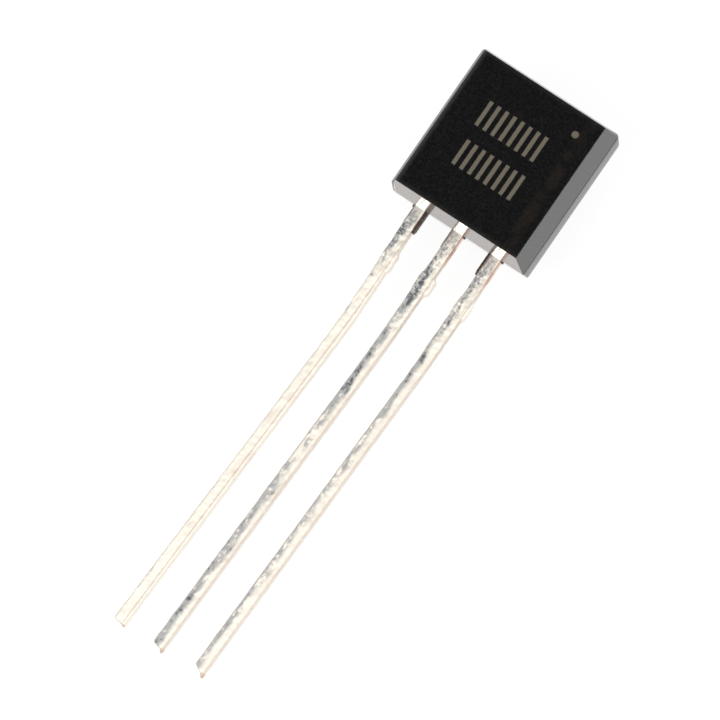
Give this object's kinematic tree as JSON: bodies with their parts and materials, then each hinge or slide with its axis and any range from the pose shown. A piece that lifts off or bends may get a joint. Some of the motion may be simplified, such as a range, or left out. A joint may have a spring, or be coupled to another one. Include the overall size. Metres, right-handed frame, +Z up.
{
  "type": "to-92 transistor",
  "caption": "Small through-hole transistor in a moulded black case with a flat face and a round back, on long straight tinned leads, lying flat side up.",
  "frame": {"origin": "on the table under the middle of the part as it lies at rest, flat side up", "axes": "+Z up from the table; -Y along the leads to their tips, +Y towards the top end of the case; +X to the collector's side, to the right as the flat face is read with the leads pointing down"},
  "size_m": [0.0046, 0.0188, 0.0041],
  "materials": {
    "moulded_epoxy": "satin",
    "tinned_copper": "satin",
    "die_solder": "satin",
    "silicon": "polished",
    "bond_gold": "gloss"
  },
  "bodies": {
    "root": {"case": "moulded_epoxy", "emitter_lead": "tinned_copper", "base_lead": "tinned_copper", "collector_lead": "tinned_copper", "die_solder": "die_solder", "die": "silicon", "emitter_wire": "bond_gold", "base_wire": "bond_gold"}
  },
  "joints": []
}
